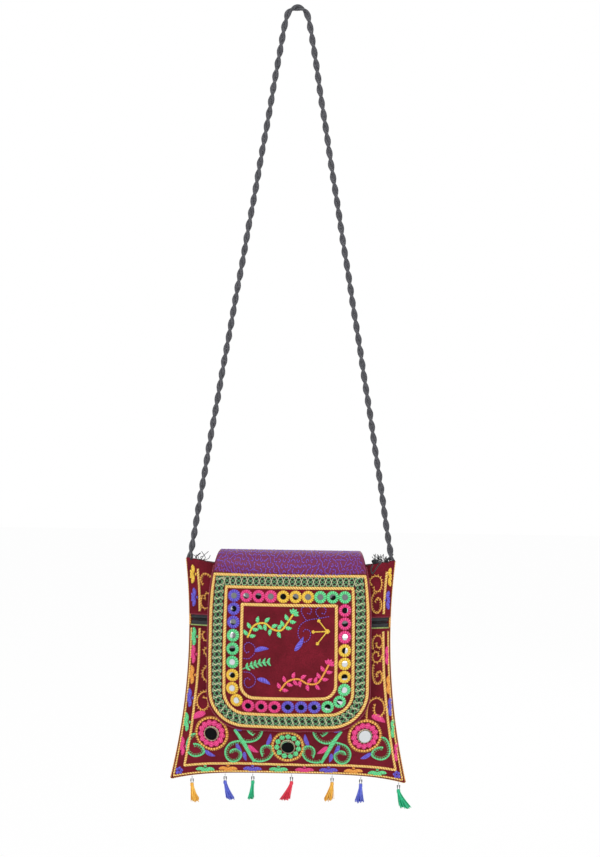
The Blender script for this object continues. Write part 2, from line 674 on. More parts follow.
def near_hem(across):
    """A line just above the hem, so that a panel's edge stays inside the seam."""
    return hem_line(across) - 0.0002


upper_x, upper_d = rows_between(mouth_line, level(ZIP_DROP - ZIP_SHOW / 2), 36, 110)
lower_x, lower_d = rows_between(level(ZIP_DROP + ZIP_SHOW / 2), near_hem, 90, 130)
rear_x, rear_d = rows_between(mouth_line, near_hem, 110, 120)
upper = piece("front_upper_velvet",
              slab(front(upper_x, upper_d), body(upper_x, upper_d, -1)),
              VELVET, "front_upper_panel")
lower = piece("front_lower_velvet",
              slab(front(lower_x, lower_d), body(lower_x, lower_d, -1)),
              VELVET, "front_lower_panel")
rear = piece("back_velvet", slab(back(rear_x, rear_d), body(rear_x, rear_d, 1)),
             VELVET, "back_panel")

# %% [markdown]
# The flap is one more slab along its own path: sewn to the back, round the mouth and down
# the front, with round lower corners. Its lining is a second, thinner one inside it.

# %% Flap
def flap_grid(inset, columns, rows_back, rows_front):
    """x and path on a grid from the seam on the back to the flap's lower edge."""
    across = np.sin(np.linspace(-math.pi / 2, math.pi / 2, columns + 1))
    end = flap_end(across * FLAP_WIDTH / 2) - inset
    rear_path = np.linspace(-FOLD_SPAN - BACK_TUCK + inset, 0.0, rows_back, endpoint=False)
    share = np.linspace(0.0, 1.0, rows_front + 1)[:, None]
    path = np.concatenate([np.repeat(rear_path[:, None], columns + 1, axis=1), end * share])
    return across * (FLAP_WIDTH / 2 - inset) + 0 * path, path


flap_x, flap_p = flap_grid(0.0, 90, 40, 110)
inner_x, inner_p = flap_grid(0.002, 60, 30, 60)
flap_velvet = piece("flap_velvet", slab(flap_path(flap_x, flap_p),
                                        flap_path(flap_x, flap_p, -CLOTH)),
                    VELVET, "flap_panel")
flap_cloth = piece("flap_cotton", slab(flap_path(inner_x, inner_p, -CLOTH - 0.0005),
                                       flap_path(inner_x, inner_p, -CLOTH - 0.0011)),
                   LINING, "flap_lining")

# %% [markdown]
# Inside are the lining, a pouch that hangs from the mouth, and the front pocket's back
# wall. They can only be seen through the mouth, so they keep the CAD's shape and get a
# woven cotton finish.

# %% Inner cloths
def dress(node, material):
    """A better finish on a CAD node that keeps its shape."""
    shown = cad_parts[node]
    shown.data.materials.clear()
    shown.data.materials.append(material)


for inner_node in ("lining", "pocket_back"):
    dress(inner_node, LINING)
for metal_node in ("front_zip_slider", "front_zip_pull", "top_zip_slider", "top_zip_pull"):
    dress(metal_node, ZIP_METAL)
for word in ("left", "middle", "right"):
    dress("mirror_" + word, MIRROR)

# %% [markdown]
# ## Seams
# The two sides of the body are closed with an overlocked gold edge. It is a thin roll of
# thread along the outline, which also covers the line where front and back meet.

# %% Overlocked edge
SEAM_RADIUS = 0.0011


def roll(line, radius, sides=8, pitch=0.0016, ridge=0.18):
    """A round rope along a line of 3-D points, whose radius r*(1 - k*(1 - |sin(s)|)) dips
    between the stitches. The angle s = pi*u/pitch + 1.5*a makes them wind round it."""
    line = np.asarray(line, float)
    run = np.gradient(line, axis=0)
    run = run / np.maximum(np.linalg.norm(run, axis=1, keepdims=True), 1e-12)
    away = np.cross(run, [0.0, 1.0, 0.0])
    away /= np.maximum(np.linalg.norm(away, axis=1, keepdims=True), 1e-12)
    over = np.cross(away, run)
    reach = lengths(line) * MM
    angle = np.linspace(0, 2 * math.pi, sides, endpoint=False)[None]
    stitch = np.abs(np.sin(math.pi * reach[:, None] / pitch + angle * 1.5))
    radius = np.broadcast_to(np.asarray(radius, float), (len(line),))[:, None]
    size = radius * (1 - ridge * (1 - stitch))
    points = line[:, None] + away[:, None] * (size * np.cos(angle))[..., None] + (
        over[:, None] * (size * np.sin(angle))[..., None])
    around = np.arange(sides + 1) * 2 * math.pi * radius.max() / sides / MM
    return grid(points, reach / MM, around, close_columns=True, caps=True)


def wire(line, radius, sides=5):
    """A smooth thin thread along a line of 3-D points."""
    return roll(line, radius, sides, ridge=0.0)


drops = np.linspace(0.001, BAG_HEIGHT - 0.0008, 120)
left_side = np.stack([-half_width(drops), 0 * drops, -STRAP_DROP - drops], axis=-1)
bottom_x = np.linspace(-HEM_WIDTH / 2, HEM_WIDTH / 2, 140)[1:-1]
bottom = np.stack([bottom_x, 0 * bottom_x,
                   -STRAP_DROP - hem_line(2 * bottom_x / HEM_WIDTH)], axis=-1)
right_side = (left_side * [-1, 1, 1])[::-1]
outline = curve(np.vstack([left_side, bottom, right_side]), THREAD_STEP)
piece("overlocked_edge", roll(outline, SEAM_RADIUS), GOLD_CORD)

# %% [markdown]
# ## Braids
# Woven gold braid frames the flap, its inner field and the front panel. Each braid is a bar
# of thread along a loop with a slanted ridge for each stitch. The hem's braid is narrower.

# %% Gold braids
BRAID_SLANT, FRAME_WIDTH = 0.7, 0.0026


def braid(path, width, height, surface, closed=False):
    """A bar of thread with one slanted ridge for each stitch of the braid."""
    return thread_bar(path, width, height, surface, BRAID_PITCH * MM, BRAID_SLANT,
                      closed=closed)


def arc(centre, radius, start, end, count):
    """Points c + r*(cos a, sin a) between two angles in degrees."""
    angles = np.radians(np.linspace(start, end, count))
    return np.stack([centre[0] + radius * np.cos(angles),
                     centre[1] + radius * np.sin(angles)], axis=-1)


def three_sides(half, top, bottom, radius, count=24):
    """Down the right side, along below and up the left side, with round lower corners."""
    return np.vstack([[(half, top)],
                      arc((half - radius, bottom - radius), radius, 0, 90, count),
                      arc((radius - half, bottom - radius), radius, 90, 180, count),
                      [(-half, top)]])


BRAID_STEP = 0.0007                 # between the points of a braid's middle line


def loop(half, top, bottom, radius):
    """A closed frame with square corners above and round ones below, read evenly."""
    corners = np.vstack([[(-half, top)], three_sides(half, top, bottom, radius)])
    reach = lengths(corners)[-1] * MM
    return read_at(corners, np.linspace(0, reach, int(reach / BRAID_STEP), endpoint=False))


for node, size in (("flap_outer_braid", OUTER_BRAID), ("flap_inner_braid", INNER_BRAID),
                   ("flap_field_braid", FIELD_BRAID)):
    piece(node.replace("braid", "gold"),
          braid(loop(*size), BRAID_WIDTH, 0.0013, flap, closed=True),
          GOLD_BRAID, node)


# %% Gold braids on the front
def hem_drop(x, inset):
    """The drop of a line that runs above the hem by an inset."""
    return hem_line(2 * x / HEM_WIDTH) - inset


# The photograph's frame is nearer the right seam than the left one.
RIGHT_SHIFT = 0.004


def frame_path(inset, top, shift):
    """Down the left side, along the hem and up the right side, at an inset that is less by
    a shift on the right."""
    low = hem_drop(HEM_WIDTH / 2, inset)
    sides = np.linspace(top, low, 60)
    left = np.stack([-(half_width(sides) - inset), sides], axis=-1)[:-1]
    right = (left * [-1, 1] + [shift, 0])[::-1]
    across = np.linspace(left[-1, 0], right[0, 0], 80)
    below = np.stack([across, hem_drop(across, inset)], axis=-1)
    path = np.vstack([left, below, right])
    return read_at(path, np.arange(0, lengths(path)[-1] * MM, BRAID_STEP))


FRAME_INSET, HEM_INSET = 0.0115, 0.0022
below_zip = ZIP_DROP + ZIP_SHOW / 2 + BRAID_WIDTH
above_zip = ZIP_DROP - ZIP_SHOW / 2 - BRAID_WIDTH
for node, inset, width, shift in (("frame_braid", FRAME_INSET, FRAME_WIDTH, RIGHT_SHIFT),
                                  ("hem_braid", HEM_INSET, 0.0017, 0.0)):
    piece(node.replace("braid", "gold"),
          braid(frame_path(inset, below_zip, shift), width, 0.0012, front),
          GOLD_BRAID, node)
for side, word, shift in ((-1, "left", 0.0), (1, "right", RIGHT_SHIFT)):
    down = np.linspace(0.012, above_zip, 70)
    path = np.stack([side * (half_width(down) - FRAME_INSET) + shift, down], axis=-1)
    piece("side_gold_" + word, braid(path, FRAME_WIDTH, 0.0012, front),
          GOLD_BRAID, "side_braid_" + word)

# %% [markdown]
# ## Lattice band
# Between the two gold braids runs a dark trim. Green threads cross on it to leave dark
# diamonds, two side by side down the sides and one along the top. Green satin fills the
# places between the rows, and thin cream threads slant over it from edge to edge. The real
# repeat is finer; it is drawn at 7 mm, as coarse as it needs to be to show.

# %% Lattice band
LATTICE_WIDTH, ROW_PITCH, TOP_PITCH, STEPS = 0.0104, 0.0070, 0.0064, 12
lattice_half, lattice_top, lattice_bottom, lattice_radius = (
    (a + b) / 2 for a, b in zip(OUTER_BRAID, INNER_BRAID))
top_edge = OUTER_BRAID[1] + BRAID_WIDTH / 2
reach = lattice_half - LATTICE_WIDTH / 2
sides_path = evenly(three_sides(lattice_half, top_edge, lattice_bottom, lattice_radius, 40),
                    ROW_PITCH / STEPS)
top_path = evenly(np.array([(-reach, lattice_top), (reach, lattice_top)]),
                  TOP_PITCH / STEPS)
ground = [thread_bar(path, LATTICE_WIDTH, 0.0004, flap, 0.0009, ridge=0.1)
          for path in (sides_path, top_path)]
piece("lattice_dark_ground", ground, LATTICE_GROUND,
      ("flap_lattice_band", "flap_lattice_top"))


def zigzag(path, centre, swing, phase):
    """A thread that swings across the band: offset c + s*triangle(u/2 + phase), with u in
    rows, because a diamond is two rows long."""
    u = np.arange(len(path)) / STEPS / 2 + phase
    triangle = 4 * np.abs(u - np.floor(u + 0.5)) - 1
    return path + sideways(path) * (centre + swing * triangle)[:, None]


def across_band(path, offsets, start, end, width=0.0, phase=0.5):
    """For each row a stitch or leaf between two places (mm along, mm across) that are
    measured from the band's middle at that phase of the row."""
    run = np.gradient(path, axis=0)
    run /= np.linalg.norm(run, axis=1, keepdims=True)
    side, parts = sideways(path), []
    for k in range(int(STEPS * phase), len(path) - 1, STEPS):
        for offset in offsets:
            ends = [path[k] / MM + run[k] * along + side[k] * (over + offset)
                    for along, over in (start, end)]
            if width:
                parts.append(satin_leaf(*ends, width, flap, height=0.0009, tail=0.0))
            else:
                parts.append(plain_stitch(np.linspace(*ends, 7) * MM, 0.0006, 0.0005, flap,
                                          0.0006))
    return parts


HALF_COLUMN = LATTICE_WIDTH / 4 - 0.0001
leaf_lines = [zigzag(sides_path, side * (HALF_COLUMN + 0.0001), HALF_COLUMN, phase)
              for side in (-1, 1) for phase in (0.0, 0.5)]
leaf_lines += [zigzag(top_path, 0.0, HALF_COLUMN + 0.0002, phase) for phase in (0.0, 0.5)]
leaf_parts = [plain_stitch(line, 0.0007, 0.0005, flap, 0.0002) for line in leaf_lines]
leaf_parts += across_band(sides_path, (0.0,), (-1.5, 0.0), (1.5, 0.0), 2.0, 0.0)
leaf_parts += across_band(sides_path, (-4.5, 4.5), (-1.5, 0.0), (1.5, 0.0), 1.2, 0.0)
leaf_parts += across_band(top_path, (-4.0, 4.0), (-1.9, 0.0), (1.9, 0.0), 1.5)
cream_parts = across_band(sides_path, (0.0,), (-1.7, -4.9), (1.7, 4.9), phase=0.0)
cream_parts += across_band(sides_path, (-2.5, 2.5), (1.2, -2.0), (-1.2, 2.0), phase=0.0)
cream_parts += across_band(top_path, (0.0,), (-1.4, -4.7), (1.4, 4.7), phase=0.0)
cream_parts += across_band(top_path, (0.0,), (1.6, -4.0), (-1.6, 4.0), phase=0.0)
piece("lattice_threads_leaf", leaf_parts, FLOSS["leaf"])
piece("lattice_threads_cream", cream_parts, FLOSS["cream"])

# %% [markdown]
# ## Mirror work
# Thirty-three small mirrors are held by rings of buttonhole stitch. A ring is a low torus
# whose lift ripples once for each radial stitch, and its outer edge is scalloped. A real
# ring has about thirty stitches; it is drawn with sixteen, which is what the render shows.

# %% Rings of mirror work
RINGS_ABOVE, RINGS_BELOW = 10, 23
RING_COLOURS = (["violet"] + ["pink"] * 3 + ["yellow"] * 3 + ["mint"] * 3 + ["pink"] * 3
                + ["yellow"] * 3 + ["mint"] * 3 + ["violet"] * 3 + ["pink"] * 3
                + ["yellow"] * 3 + ["mint"] * 3 + ["violet"] * 2)


def polar(centre, radii, lifts, turns, surface, scallop=0.0, ripple=0.0, lobes=16):
    """A ring on a surface: x = cx + r*cos, drop = cd + r*sin, for a closed profile of
    radii and lifts. Outer radii swell by |sin| for each stitch, and lifts dip between. Its
    UV runs one pitch of floss for each stitch."""
    angle = np.linspace(0, 2 * math.pi, turns, endpoint=False)[:, None]
    wave = np.abs(np.sin(lobes * angle / 2))
    radii, lifts = np.asarray(radii, float)[None], np.asarray(lifts, float)[None]
    outer = (radii - radii.min()) / (np.ptp(radii) + 1e-12)
    r = radii * (1 + scallop * (wave - 0.6) * outer)
    lift = np.where(lifts > 0, lifts * (1 - ripple * (1 - wave)), lifts)
    points = surface(centre[0] + r * np.cos(angle), centre[1] + r * np.sin(angle), lift)
    around = np.linspace(0, lobes * FLOSS_PITCH, turns + 1)
    return grid(points, around, np.zeros(radii.shape[1] + 1), close_rows=True,
                close_columns=True)


def ring_places():
    """Even places along the loop: ten above, and the rest down, along and up again."""
    half, top = RING_LOOP[:2]
    above = np.stack([np.linspace(-half, half, RINGS_ABOVE)[:-1],
                      np.full(RINGS_ABOVE - 1, top)], axis=-1)
    path = three_sides(*RING_LOOP)
    share = np.arange(RINGS_BELOW + 1) / (RINGS_BELOW + 1)
    return np.vstack([above, read_at(path, share * lengths(path)[-1] * MM)])


RING_RADII = np.array([3.0, 3.3, 4.2, 5.4, 6.4, 6.8, 4.6]) * MM
RING_LIFTS = np.array([-0.4, 1.0, 1.5, 1.3, 0.7, -0.4, -0.4]) * MM
places = ring_places()
for number, word in enumerate(("violet", "pink", "yellow", "mint")):
    rings = [polar(spot, RING_RADII, RING_LIFTS, 96, flap, 0.10, 0.5)
             for spot, colour in zip(places, RING_COLOURS) if colour == word]
    piece("mirror_rings_" + word, rings, FLOSS[word],
          "mirror_band" if number == 0 else ())

# %% Small mirrors
rng = np.random.default_rng(11)
angle = np.linspace(0, 2 * math.pi, 20, endpoint=False)[None]
radius = np.array([0.05, 2.2, 3.15, 3.25, 0.05])[:, None] * MM
lift = np.array([0.9, 0.88, 0.8, 0.2, 0.2])[:, None] * MM
x, y = radius * np.cos(angle), radius * np.sin(angle)
discs = []
for spot in places:
    tilt = rng.normal(0, 0.09, 2)
    discs.append(grid(flap(spot[0] + x, spot[1] + y, lift + tilt[0] * x + tilt[1] * y),
                      np.arange(5.0), np.arange(21.0), close_columns=True, caps=True))
piece("small_mirrors", discs, MIRROR, flat=True)

# %% [markdown]
# ## Rosettes
# Under the flap sit three larger mirrors, each held by a thin cream thread, in a ring of
# petals and a gold ring with short stitches pointing out of it. The two outer ones have
# pink petals, and the middle one has round green dots.

# %% Rosettes
# place, x, drop, colour, outer radius, number of petals, their start, end and width
ROSETTES = (("left", -0.0820, 0.1885, "pink", 18.0, 13, 7.9, 15.2, 6.4),
            ("middle", 0.0, 0.1995, "mint", 17.3, 11, 8.6, 14.6, 6.2),
            ("right", 0.0820, 0.1885, "pink", 18.0, 13, 7.9, 15.2, 6.4))
TICKS = 54
gold_rings, grip_threads = [], []
for word, x, drop, colour, size, count, inner, outer, width in ROSETTES:
    spot = np.array([x, drop]) / MM
    petals = [satin_leaf(spot + toward(angle) * inner, spot + toward(angle) * outer, width,
                         front, height=0.0017, tail=0.0)
              for angle in (np.arange(count) + 0.3) * 2 * math.pi / count]
    piece("rosette_petals_" + word, petals, FLOSS[colour],
          "rosette_" + word)
    profile = np.array([-2.4, -2.2, -1.4, -0.5, 0.0, -1.2]) + size
    gold_rings.append(polar((x, drop), profile * MM,
                            np.array([-0.4, 0.8, 1.5, 1.0, -0.4, -0.4]) * MM, 224, front,
                            0.01, 0.3, TICKS))
    for angle in np.arange(TICKS) * 2 * math.pi / TICKS:
        way = toward(angle)
        tick = np.linspace(spot + way * (size - 0.8), spot + way * (size + 0.7), 4) * MM
        gold_rings.append(plain_stitch(tick, TICK_WIDTH, TICK_HEIGHT, front))
    grip_threads.append(polar((x, drop), np.array([7.2, 7.3, 7.5, 7.7, 7.8, 7.5]) * MM,
                              np.array([1.7, 1.9, 1.95, 1.2, -0.4, -0.4]) * MM, 144, front,
                              0.03, 0.6, 24))
piece("rosette_gold_rings", gold_rings, GOLD_CORD)
piece("rosette_mirror_grips", grip_threads, FLOSS["cream"])

# %% [markdown]
# ## Vines and leaves
# Mint vines curl out from under the flap on both sides of the middle rosette, and gold
# scrolls climb beside the flap. They are a traditional kind of ornament. Each is a list of
# places in millimetres, x and drop, that a smooth curve runs through.

# %% Mint vines
VINE_STEM = ((-56.9, 182.0), (-49.3, 193.1), (-43.1, 204.6), (-36.3, 218.5))
VINE_CURLS = (
    ((-48.8, 193.7), (-42.4, 195.5), (-34.8, 193.6), (-29.2, 188.4), (-27.1, 181.6),
     (-28.9, 175.6), (-34.1, 172.9), (-39.9, 175.0), (-43.4, 179.0), (-41.1, 184.1),
     (-36.5, 187.5)),
    ((-48.8, 194.3), (-55.2, 195.3), (-61.9, 198.4), (-66.5, 204.6), (-67.2, 211.1),
     (-64.4, 217.0), (-58.4, 219.6), (-52.4, 216.5), (-50.0, 211.3), (-51.5, 206.3),
     (-55.9, 204.6), (-60.7, 206.1), (-62.1, 209.1)),
    ((-36.5, 216.6), (-31.6, 218.1), (-24.6, 216.8), (-18.7, 212.7), (-15.5, 206.1),
     (-17.4, 200.4), (-22.0, 198.7), (-26.7, 200.4), (-28.9, 205.3), (-27.2, 211.7)),
    ((-97.8, 190.4), (-104.0, 191.9), (-108.3, 198.2), (-109.7, 205.4), (-107.8, 211.4),
     (-101.9, 215.0), (-95.0, 214.0), (-90.2, 210.1), (-91.3, 206.0), (-95.1, 202.7),
     (-99.6, 201.5), (-102.2, 202.1)),
)
vine_parts = []
for mirror in (1, -1):
    flip = np.array([mirror, 1])
    stem = curve(np.array(VINE_STEM) * MM * flip, THREAD_STEP)
    vine_parts.append(thread_bar(stem, 0.0044 - 0.0016 * np.linspace(-1, 1, len(stem)) ** 2,
                                 0.0014, front, 0.0020, 0.6))
    for points in VINE_CURLS:
        vine_parts += scroll(np.array(points) * flip, front, 1.8, inner=-mirror)
piece("mint_vines", vine_parts, FLOSS["mint"])

# %% Leaves beside the vines
VIOLET_LEAVES = (
    ((-56.3, 178.6), (-48.7, 182.8), 4.5), ((-54.7, 197.5), (-49.2, 207.7), 4.5),
    ((-46.6, 207.1), (-44.7, 217.8), 4.5), ((-89.6, 207.7), (-77.8, 213.5), 4.8),
    ((-22.6, 198.7), (-18.3, 184.9), 4.5))
PINK_LEAVES = (
    ((-42.4, 198.9), (-31.1, 207.5), 5.4), ((-88.5, 166.6), (-104.0, 175.1), 7.0))
for word, leaves in (("violet", VIOLET_LEAVES), ("pink", PINK_LEAVES)):
    parts = [satin_leaf(np.array(start) * (m, 1), np.array(end) * (m, 1), width, front,
                        bend=0.08 * m) for start, end, width in leaves for m in (1, -1)]
    piece("vine_leaves_" + word, parts, FLOSS[word])

# %% Gold scrolls beside the flap
SCROLLS_RIGHT = (
    ((88.0, 27.0), (84.6, 22.1), (90.4, 17.2), (98.3, 18.2), (100.9, 26.0), (97.4, 32.9),
     (91.6, 32.8), (90.0, 27.9)),
    ((91.6, 33.8), (86.8, 42.6), (88.8, 53.3), (95.7, 56.7), (100.5, 51.5), (100.1, 43.7),
     (95.9, 40.3), (91.7, 44.6)),
    ((90.0, 95.5), (89.4, 87.0), (93.6, 81.2), (100.4, 82.8), (102.2, 89.6), (98.0, 94.0),
     (94.2, 91.4), (94.8, 88.2)),
    ((102.2, 92.0), (102.6, 101.4), (98.4, 108.6), (91.8, 108.4), (89.4, 102.6),
     (93.0, 98.2), (97.0, 100.2), (96.8, 103.4)),
    ((90.4, 111.0), (89.8, 122.6), (93.2, 131.6), (100.0, 132.2), (103.6, 125.8),
     (100.4, 119.6), (95.2, 121.2), (95.6, 125.4)),
    ((82.3, 171.7), (83.1, 157.9), (87.9, 150.3), (97.0, 148.1), (104.6, 153.5),
     (105.7, 162.4), (99.9, 167.8), (94.0, 164.5), (92.5, 158.5), (93.8, 153.7)),
)
SCROLLS_LEFT = (
    ((-94.9, 30.1), (-97.6, 23.3), (-94.1, 17.3), (-88.2, 18.0), (-83.1, 21.8)),
    ((-95.3, 40.1), (-96.6, 49.0), (-92.4, 54.6), (-85.5, 52.2), (-82.7, 44.3),
     (-87.8, 38.6), (-91.7, 39.8), (-91.6, 45.8)),
    ((-91.0, 79.0), (-93.9, 83.0), (-90.8, 88.7), (-87.2, 88.4)),
    ((-88.6, 96.2), (-91.9, 100.3), (-89.2, 104.1), (-85.0, 105.0)),
    ((-87.7, 115.5), (-92.5, 121.8), (-92.0, 128.6), (-86.9, 132.0), (-82.0, 131.0)),
    ((-85.7, 142.8), (-93.8, 145.4), (-98.8, 151.7), (-98.3, 159.4), (-92.6, 163.7),
     (-86.0, 159.3), (-86.7, 151.6), (-92.7, 150.2)),
)
# The scrolls are squeezed towards a line beside the flap, to stay clear of the frame.
SCROLL_LINE = 88.0
gold_parts = []
for scrolls, side, squeeze in ((SCROLLS_RIGHT, 1, 0.80), (SCROLLS_LEFT, -1, 0.88)):
    for points in scrolls:
        points = np.array(points)
        points[:, 0] = side * (SCROLL_LINE + (side * points[:, 0] - SCROLL_LINE) * squeeze)
        gold_parts += scroll(points, front, 1.5, inner=-side, tick=1.2)
piece("gold_scrolls", gold_parts, GOLD_CORD)

# %% [markdown]
# ## Border flowers
# Small flowers stand in the strip between the frame and the hem, all the way round. Each
# has two wings, a round petal that points at the hem, two petals beside it and a small one
# behind. The two at the hem's corners are round, with five petals.

# %% Border flowers
HEM_FLOWERS = ((-117.6, "violet"), (-89.5, "mint"), (-64.7, "orange"), (-38.1, "violet"),
               (-10.0, "mint"), (18.0, "pink"), (44.0, "violet"), (70.9, "orange"),
               (96.7, "mint"), (117.6, "violet"))
SIDE_FLOWERS = (
    (-1, 18.0, "yellow"), (-1, 43.0, "violet"), (-1, 85.5, "mint"), (-1, 104.5, "pink"),
    (-1, 127.0, "orange"), (-1, 152.0, "violet"), (-1, 178.5, "mint"), (-1, 205.0, "pink"),
    (1, 18.0, "yellow"), (1, 43.0, "violet"), (1, 102.6, "pink"), (1, 134.2, "orange"),
    (1, 158.1, "violet"), (1, 181.8, "mint"), (1, 207.3, "pink"))
PETALS = ((0, 5.6, 4.6), (-44, 7.2, 3.6), (44, 7.2, 3.6), (-78, 10.6, 4.0), (78, 10.6, 4.0),
          (180, 2.9, 3.4))
CORNER_PETALS = ((0, 5.4, 3.6), (-72, 4.2, 3.4), (72, 4.2, 3.4), (-144, 4.2, 3.4),
                 (144, 4.2, 3.4))
FLOWER_INSET, PETAL_REACH, CORNER_REACH = 0.0070, 4.5, 6.0
RIGHT_CUT = 1.2                     # petals on the right are this much shorter, in mm


def flower(x, drop, way, strip=PETAL_REACH, petals=PETALS):
    """Petals as satin leaves round a centre; angles are from the way to the hem. A petal's
    length is at most strip/cos(a), so that it ends at the edge of the strip."""
    centre = np.array([x, drop])
    parts = []
    for degrees, length, width in petals:
        angle = way + math.radians(degrees)
        reach = min(length, strip / max(abs(math.cos(angle - way)), 0.1))
        parts.append(satin_leaf(centre + 0.6 * toward(angle),
                                centre + reach * toward(angle), width, front,
                                height=0.0013, tail=-0.25))
    return parts


for word in ("yellow", "violet", "mint", "pink", "orange"):
    parts = []
    for x, colour in HEM_FLOWERS:
        drop = hem_drop(x * MM, FLOWER_INSET) / MM
        if colour == word and abs(x) < 110:
            parts += flower(x, drop, math.pi / 2)
        elif colour == word:
            parts += flower(x, drop, math.pi / 2 - math.copysign(math.pi / 4, x),
                            CORNER_REACH, CORNER_PETALS)
    for side, drop, colour in SIDE_FLOWERS:
        if colour == word:
            inset = FLOWER_INSET - (RIGHT_SHIFT / 2 if side > 0 else 0.0)
            parts += flower(side * (half_width(drop * MM) - inset) / MM, drop,
                            math.pi if side < 0 else 0.0,
                            PETAL_REACH - (RIGHT_CUT if side > 0 else 0.0))
    piece("border_flowers_" + word, parts, FLOSS[word])

# %% [markdown]
# ## The flap's field
# The middle of the flap is plain velvet with violet scrolls in running stitch, satin
# leaves, a green fern and a yellow sprig. Two flowering vines fill the rest of it.

# %% Running-stitch scrolls
RUNNING = (
    ((42.2, 58.6), (31.7, 60.6), (20.2, 62.6), (11.7, 68.3), (10.0, 77.7), (14.8, 85.1),
     (21.5, 82.2), (22.7, 74.8), (18.1, 72.0), (14.7, 74.8)),
    ((18.3, 62.7), (13.4, 55.1), (13.3, 50.4), (19.0, 48.4), (23.5, 51.2), (22.0, 56.0),
     (18.6, 55.0)),
    ((32.6, 60.6), (28.7, 55.9), (28.7, 51.2), (34.4, 48.3), (38.8, 51.1), (37.4, 55.8),
     (33.9, 54.9)),
    ((-47.0, 103.7), (-41.2, 103.4), (-35.5, 97.5), (-35.7, 90.9), (-41.6, 86.8),
     (-46.3, 89.5), (-46.1, 95.2), (-43.2, 97.8), (-40.8, 94.9)),
    ((-46.7, 118.0), (-40.0, 118.5), (-34.5, 124.0), (-35.6, 130.8), (-41.7, 134.4),
     (-45.6, 131.4), (-45.7, 126.6), (-42.8, 124.0), (-39.5, 126.1)),
)
dashes = []
for points in RUNNING:
    dashes += dashed(curve(np.array(points) * MM, 0.0005), flap, 4, 2, 0.0009, 0.0006)
piece("field_running_stitch", dashes, FLOSS["violet"])

# %% Leaves, fern and sprig
violet = [satin_leaf((6.4, 94.5), (15.7, 79.5), 5.2, flap, 0.05),
          satin_leaf((-35.6, 96.0), (-20.3, 92.8), 5.0, flap, -0.1),
          satin_leaf((-32.6, 124.8), (-18.4, 130.2), 5.0, flap, -0.1)]
piece("field_leaves_violet", violet, FLOSS["violet"])
FERN_STEM = ((-48.0, 114.8), (-38.2, 110.8), (-28.6, 107.6), (-19.0, 106.3))
stem = curve(np.array(FERN_STEM) * MM, THREAD_STEP)
fern = [thread_bar(stem, 0.0010, 0.0007, flap, ridge=0.0)]
for share in np.linspace(0.15, 0.92, 6):
    k = int(share * (len(stem) - 2))
    run = stem[k + 1] - stem[k]
    heading = math.atan2(run[1], run[0])
    for side in (-1, 1):
        tip = stem[k] / MM + 5.4 * toward(heading + side * math.radians(52))
        fern.append(satin_leaf(stem[k] / MM, tip, 2.5, flap))
piece("field_fern", fern, FLOSS["mint"])
SPRIG_ROOT = (40.4, 74.2)
sprig = [satin_leaf((43.4, 74.2), (37.8, 74.2), 5.0, flap, tail=0.0)]
for tip in ((31.7, 63.4), (26.1, 74.7), (30.5, 86.5)):
    line = np.linspace(SPRIG_ROOT, tip, 24) * MM
    sprig.append(thread_bar(line, 0.0013, 0.0009, flap, 0.0014, 0.5))
    way = np.array(tip) - SPRIG_ROOT
    way /= np.linalg.norm(way)
    sprig.append(satin_leaf(np.array(tip) - way * 1.6, np.array(tip) + way * 2.2, 3.8, flap,
                            tail=0.0))
piece("field_sprig", sprig, FLOSS["yellow"])

# %% [markdown]
# Vines with leaves in pairs and a bud at the tip are a common filling of such embroidery.
# Each leaf stands at one angle from its stem, so a loop along the stem places them all.

# %% Two flowering vines in the field
FIELD_VINES = (
    ("mint", "yellow", ((-43.5, 82.0), (-37.0, 69.5), (-26.0, 66.5), (-17.0, 72.5),
                        (-8.0, 73.5), (-1.5, 65.5), (4.5, 56.5))),
    ("pink", "orange", ((-8.5, 136.5), (-0.5, 126.5), (10.5, 123.5), (20.5, 128.5),
                        (30.5, 128.0), (37.0, 119.0), (42.5, 108.5))))
for colour, stem_colour, points in FIELD_VINES:
    stem = curve(np.array(points) * MM, THREAD_STEP)
    stems, leaves = [thread_bar(stem, 0.0020, 0.0010, flap, FLOSS_PITCH * MM, 0.4)], []
    run = np.gradient(stem, axis=0)
    for share in np.linspace(0.04, 0.88, 8):
        k = int(share * (len(stem) - 1))
        heading = math.atan2(run[k, 1], run[k, 0])
        for side in (-1, 1):
            way = toward(heading + side * math.radians(62))
            leaves.append(satin_leaf(stem[k] / MM + way, stem[k] / MM + way * 8.0, 4.0,
                                     flap, bend=0.1 * side))
    heading = math.atan2(run[-1, 1], run[-1, 0])
    for turn in (-70, -35, 0, 35, 70):
        way = toward(heading + math.radians(turn))
        leaves.append(satin_leaf(stem[-1] / MM, stem[-1] / MM + way * 6.4, 3.2, flap))
    piece("field_vine_" + colour, leaves, FLOSS[colour])
    piece("field_vine_stems_" + colour, stems, FLOSS[stem_colour])

# %% [markdown]
# ## Brocade band and pipings
# The flap's fold is covered by purple brocade with violet squiggles, and the flap's edge
# is bound with red piping.

# %% Brocade band
across = np.linspace(-1, 1, 90) * (FLAP_WIDTH / 2 - 0.0012)
rows = np.concatenate([np.linspace(-FOLD_SPAN * 0.52, 0, 24, endpoint=False),
                       np.linspace(0, 1, 12)])[:, None]
path = np.where(rows < 0, rows, rows * (BROCADE_END - fold_start(across)))
band_x = across + 0 * path
piece("brocade_fold",
      slab(flap_path(band_x, path, 0.0008), flap_path(band_x, path, 0.0001)),
      BROCADE, "brocade_band")


def brocade(x, path, lift=0.0):
    """A point above the brocade's face, by the path along the flap."""
    return flap_path(x, path, lift + 0.0007)


